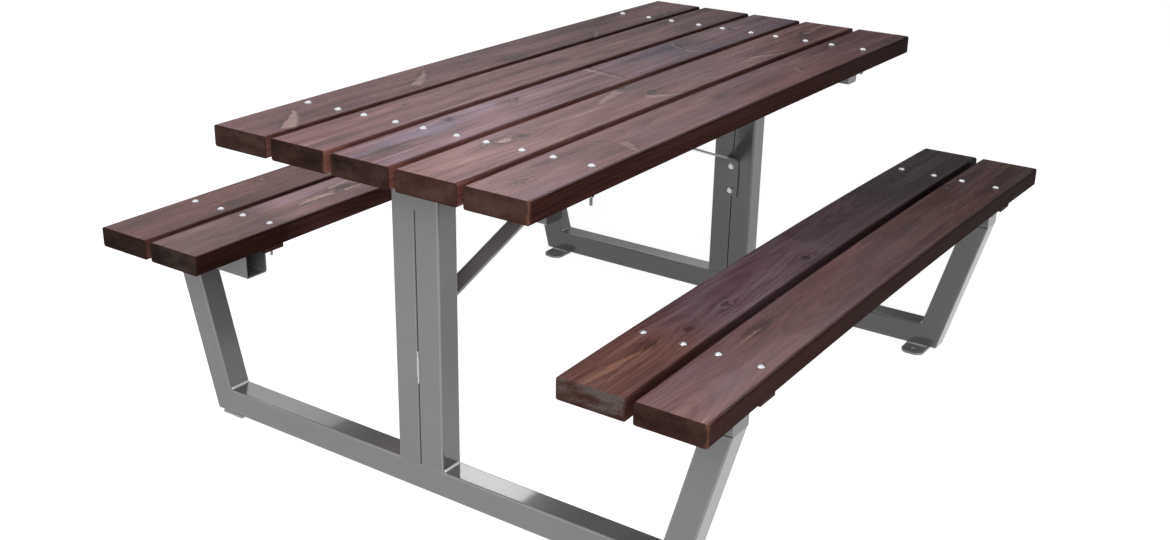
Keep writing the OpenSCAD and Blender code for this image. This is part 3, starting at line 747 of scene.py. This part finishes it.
def make_board(node, number):
    """One board: rounded long edges, eased ends and a slight bow between its bolt rows."""
    look = bpy.context.scene.table_boards
    low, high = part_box(node)
    bm = bmesh.new()
    bmesh.ops.create_cube(bm, size=1.0)
    bmesh.ops.scale(bm, vec=high - low, verts=bm.verts)
    bmesh.ops.translate(bm, vec=(low + high) / 2, verts=bm.verts)
    long_edges = [e for e in bm.edges if abs((e.verts[0].co - e.verts[1].co).x) > 0.1]
    bmesh.ops.bevel(bm, geom=long_edges, offset=look.arris, offset_type="OFFSET", affect="EDGES",
                    segments=ARRIS_STEPS, profile=0.5, material=-1)
    end_edges = [e for e in bm.edges if all(abs(abs(v.co.x) - high.x) < 1e-6 for v in e.verts)]
    bmesh.ops.bevel(bm, geom=end_edges, offset=look.end_arris, offset_type="OFFSET", affect="EDGES",
                    segments=END_ARRIS_STEPS, profile=0.5, material=-1)
    for step in range(1, BOARD_SLICES):
        x = low.x + (high.x - low.x) * step / BOARD_SLICES
        bmesh.ops.bisect_plane(bm, geom=bm.verts[:] + bm.edges[:] + bm.faces[:], plane_co=(x, 0.0, 0.0),
                               plane_no=(1.0, 0.0, 0.0))
    row = BOLT_ROWS[node.split("_")[0]]
    bow = look.bench_bow if node in FRONT_BENCH else look.top_bow
    for v in bm.verts:
        v.co.z += bow * (1.0 - (v.co.x / row) ** 2)
    for f in bm.faces:
        f.smooth = max(abs(c) for c in f.normal) <= 0.999
        if abs(f.normal.x) > 0.3:
            f.material_index = MATERIAL_END
        else:
            f.material_index = MATERIAL_EDGE if abs(f.normal.y) > 0.75 else MATERIAL_FACE
    facts = (node, low, high, BOARDS[node], number)
    materials = [stained_face(*facts, edge=False), stained_face(*facts, edge=True), end_face(*facts)]
    finish_piece(bm, node + "_visual", materials, node)


def weld_bead(bm, start, end, radius, pitch):
    """A rippled bead from one point to another, closed at both ends."""
    start, end = Vector(start), Vector(end)
    steps = 2 * max(4, round((end - start).length / pitch))
    turn = (end - start).normalized().to_track_quat("Z", "Y").to_matrix()
    ring = bmesh.ops.create_circle(bm, cap_ends=True, segments=BEAD_SIDES, radius=radius * BEAD_END)["verts"]
    bmesh.ops.rotate(bm, cent=(0.0, 0.0, 0.0), matrix=turn, verts=ring)
    bmesh.ops.translate(bm, vec=start, verts=ring)
    edges = list({e for v in ring for e in v.link_edges if all(w in ring for w in e.verts)})
    advance = (end - start) / steps
    here = start.copy()
    for step in range(steps):
        grown = bmesh.ops.extrude_edge_only(bm, edges=edges)["geom"]
        verts = [g for g in grown if isinstance(g, bmesh.types.BMVert)]
        edges = [g for g in grown if isinstance(g, bmesh.types.BMEdge)]
        bmesh.ops.translate(bm, vec=advance, verts=verts)
        here += advance
        width = BEAD_END if step == steps - 1 else BEAD_DIP if step % 2 else 1.0
        factor = radius * width / max((v.co - here).length for v in verts)
        for v in verts:
            v.co = here + (v.co - here) * factor
    bmesh.ops.contextual_create(bm, geom=edges)


class PICNIC_OT_top_boards(bpy.types.Operator):
    """Make the five boards of the table top"""

    bl_idname = "picnic.top_boards"
    bl_label = "Table top boards"

    def execute(self, context):
        for number in range(1, 6):
            make_board(f"top_board_{number}", number)
        return {"FINISHED"}


class PICNIC_OT_bench_boards(bpy.types.Operator):
    """Make the two boards of each bench"""

    bl_idname = "picnic.bench_boards"
    bl_label = "Bench boards"

    def execute(self, context):
        for number in range(1, 5):
            make_board(f"seat_board_{number}", number + 5)
        return {"FINISHED"}


class PICNIC_OT_battens(bpy.types.Operator):
    """Stain the strips and the batten under the boards"""

    bl_idname = "picnic.battens"
    bl_label = "Strips and batten"

    def execute(self, context):
        stain = batten_stain("batten_stain")
        for node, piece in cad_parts.items():
            if "strip" in node or node == "centre_batten":
                coat(piece, stain)
        return {"FINISHED"}


class PICNIC_OT_end_frames(bpy.types.Operator):
    """Paint the tubes, plates and braces of the end frames"""

    bl_idname = "picnic.end_frames"
    bl_label = "End frames"

    def execute(self, context):
        paints = {
            "brace": frame_paint("brace_paint", bar=True),
            "post": frame_paint("post_paint", seam=True),
            # Paler paint on the feet, as painted light where they stand in shade
            "foot": frame_paint("foot_paint", FOOT_LIGHT_GAIN),
        }
        paint = frame_paint("frame_paint")
        for node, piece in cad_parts.items():
            if node.startswith(PAINTED) and not any(word in node for word in ZINC):
                coat(piece, paints.get(node.split("_")[0], paint))
        return {"FINISHED"}


class PICNIC_OT_welds(bpy.types.Operator):
    """Lay weld beads where the tubes of the frames meet"""

    bl_idname = "picnic.welds"
    bl_label = "Weld beads"

    def execute(self, context):
        look = context.scene.table_frames
        # The welds' paler paint is a painted highlight
        fill_paint, weld_paint = frame_paint("fill_paint"), frame_paint("weld_paint", WELD_HIGHLIGHT_GAIN)
        stitch_paint = frame_paint("stitch_paint", STITCH_GAIN)
        r, pitch = look.weld_radius, look.weld_pitch
        thin = r * THIN_BEAD
        for end, out in (("near", -1.0), ("far", 1.0)):
            low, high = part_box("runner_" + end)
            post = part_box("post_back_" + end)[1]
            bar_low, bar_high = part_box("seat_bar_back_" + end)
            foot_low, foot_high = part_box("foot_back_" + end)
            inside, outside = (high.x, low.x) if out < 0.0 else (low.x, high.x)
            # The legs lean, so their inner faces meet the runner and the seat bars at these distances across.
            tube = bar_high.z - bar_low.z
            lean = math.atan2(bar_high.y - high.y, bar_low.z - low.z)
            inner = high.y + (high.z - low.z) * math.tan(lean) - tube / math.cos(lean)
            upper = bar_high.y - tube / math.cos(lean)
            seats = ((post.y, high.z, r), (post.y, post.z, thin), (inner, high.z, r), (upper, bar_low.z, thin))
            x0, x1 = low.x + TUBE_CORNER, high.x - TUBE_CORNER
            y0, y1 = foot_low.y + FOOT_WELD_INSET, foot_high.y - FOOT_WELD_INSET
            bm = bmesh.new()
            for way in (-1.0, 1.0):
                for y, z, radius in seats:
                    weld_bead(bm, (x0, way * y, z), (x1, way * y, z), radius, pitch)
                weld_bead(bm, (inside, way * y0, foot_high.z), (inside, way * y1, foot_high.z), thin, pitch)
            finish_piece(bm, "welds_" + end, [weld_paint])
            # The seam between the two post tubes is filled and ground flush at the top, with a short stitch lower down.
            bm = bmesh.new()
            for face, sign in ((outside, out), (inside, -out)):
                fill = bmesh.ops.create_cube(bm, size=1.0)["verts"]
                bmesh.ops.scale(bm, vec=SEAM_FILL, verts=fill)
                place = (face - sign * SEAM_FILL_SINK, 0.0, post.z - SEAM_FILL[2] / 2)
                bmesh.ops.translate(bm, vec=place, verts=fill)
            finish_piece(bm, "seam_fill_" + end, [fill_paint])
            bm = bmesh.new()
            for start, stop, wide in STITCHES:
                weld_bead(bm, (outside, 0.0, start), (outside, 0.0, stop), r * wide, pitch)
            finish_piece(bm, "stitch_weld_" + end, [stitch_paint])
        return {"FINISHED"}


class PICNIC_OT_fasteners(bpy.types.Operator):
    """Plate the bolts, washers, nuts and screws"""

    bl_idname = "picnic.fasteners"
    bl_label = "Fasteners"

    def execute(self, context):
        plates = {
            "top": zinc_plate("zinc_top", TOP_TAILS, metal=0.85, rough=0.24, gain=0.86),
            "seat": zinc_plate("zinc_seat", SEAT_TAILS, metal=0.85, rough=0.24, gain=0.86),
            "brace": zinc_plate("zinc_brace", 0.0, metal=1.0, rough=0.16, gain=0.6),
        }
        for node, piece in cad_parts.items():
            if any(word in node for word in ZINC):
                coat(piece, plates[node.split("_")[0]])
        return {"FINISHED"}


def make_floor(look):
    """A pale floor that glows, so that it shows white but keeps a trace of the table's shadow."""
    bm = bmesh.new()
    bmesh.ops.create_grid(bm, x_segments=1, y_segments=1, size=look.floor_size)
    bmesh.ops.translate(bm, vec=(0.0, 0.0, FLOOR_DROP), verts=bm.verts)
    made, tree, shader = new_material("pale_floor", Base_Color=FLOOR_GREY, Roughness=0.9, Specular_IOR_Level=0.0)
    path = tree.nodes.new("ShaderNodeLightPath").outputs
    seen = sums(tree, "MAXIMUM", path["Is Camera Ray"],
                sums(tree, "MAXIMUM", path["Is Glossy Ray"], path["Is Transmission Ray"]))
    glow = sums(tree, "MULTIPLY_ADD", path["Is Camera Ray"], FLOOR_GLOW_TO_CAMERA,
                times(tree, seen, FLOOR_GLOW))
    lit = put(tree, "ShaderNodeEmission", Color=WHITE, Strength=glow)
    both = tree.nodes.new("ShaderNodeAddShader")
    tree.links.new(shader.outputs[0], both.inputs[0])
    tree.links.new(lit.outputs[0], both.inputs[1])
    tree.links.new(both.outputs[0], tree.nodes["Material Output"].inputs["Surface"])
    floor = add_mesh(bm, "floor", [made])


def make_lights(look):
    """The soft lights, all turned to the middle of the table."""
    for name, power, place, size in SOFTBOXES:
        lamp = bpy.data.lights.new(name, "AREA")
        lamp.shape, lamp.size, lamp.size_y = "RECTANGLE", size[0], size[1]
        lamp.energy = getattr(look, power)
        holder = add_object(name, lamp)
        holder.location = place
        turn = (LIGHT_AIM - Vector(place)).to_track_quat("-Z", "Y")
        if name == "runner_softbox":
            turn = turn @ RUNNER_ROLL
        holder.rotation_euler = turn.to_euler()


def make_world(look):
    """White to the camera. Gloss sees white too, but behind the table only above a darker horizon."""
    world = bpy.data.worlds.new("studio")
    world.use_nodes = True
    sky = world.node_tree
    path = sky.nodes.new("ShaderNodeLightPath").outputs
    way = axes(sky, sky.nodes.new("ShaderNodeTexCoord").outputs["Generated"])
    rise = sums(sky, "ADD", way["Z"], span(sky, way["X"], 0.1, -0.4, 0.0, 0.5))
    rise = sums(sky, "SUBTRACT", rise, span(sky, way["Y"], 0.37, 0.27, 0.0, 0.15))
    high = times(sky, path["Is Glossy Ray"], span(sky, rise, 0.30, 0.42))
    seen = sums(sky, "MAXIMUM", path["Is Camera Ray"], high)
    level = span(sky, seen, 0.0, 1.0, look.world, 1.0, smooth=False)
    backdrop = sky.nodes["Background"]
    backdrop.inputs["Color"].default_value = WHITE
    sky.links.new(level, backdrop.inputs["Strength"])
    return world


def make_camera(look):
    """The photograph's camera."""
    lens = bpy.data.cameras.new("photo_camera")
    lens.sensor_fit, lens.sensor_width, lens.lens = "HORIZONTAL", SENSOR_WIDTH, look.lens
    lens.shift_x, lens.shift_y = look.shift_x, look.shift_y
    eye = add_object("photo_camera", lens)
    eye.location = look.camera_place
    eye.rotation_euler = look.camera_turn
    return eye


class PICNIC_OT_stage(bpy.types.Operator):
    """Set the floor, the soft lights, the world and the camera"""

    bl_idname = "picnic.stage"
    bl_label = "Stage"

    def execute(self, context):
        scene = context.scene
        look = scene.table_stage
        make_floor(look)
        make_lights(look)
        scene.world = make_world(look)
        scene.view_settings.view_transform = "Standard"
        scene.camera = make_camera(look)
        return {"FINISHED"}


class PICNIC_PT_panel(bpy.types.Panel):
    """Lists the steps that dress the table"""

    bl_idname = "PICNIC_PT_panel"
    bl_label = "Picnic table"
    bl_space_type = "VIEW_3D"
    bl_region_type = "UI"
    bl_category = "Picnic Table"

    def draw(self, context):
        for step in STEPS:
            self.layout.operator(step.bl_idname)


SETTINGS = {"table_boards": BoardSettings, "table_frames": FrameSettings, "table_fasteners": FastenerSettings,
            "table_stage": StageSettings}
STEPS = (PICNIC_OT_stage, PICNIC_OT_top_boards, PICNIC_OT_bench_boards, PICNIC_OT_battens, PICNIC_OT_end_frames,
         PICNIC_OT_welds, PICNIC_OT_fasteners)
CLASSES = (*SETTINGS.values(), *STEPS, PICNIC_PT_panel)


def register():
    """Registers the settings, the steps and the panel."""
    for each in CLASSES:
        bpy.utils.register_class(each)
    for name, kind in SETTINGS.items():
        setattr(bpy.types.Scene, name, PointerProperty(type=kind))


def unregister():
    """Takes away what register added."""
    for name in SETTINGS:
        delattr(bpy.types.Scene, name)
    for each in reversed(CLASSES):
        bpy.utils.unregister_class(each)


def main():
    """Registers the steps, runs them in order and writes the two boxes."""
    register()
    for step in STEPS:
        group, name = step.bl_idname.split(".")
        getattr(getattr(bpy.ops, group), name)()


if __name__ == "__main__":
    main()
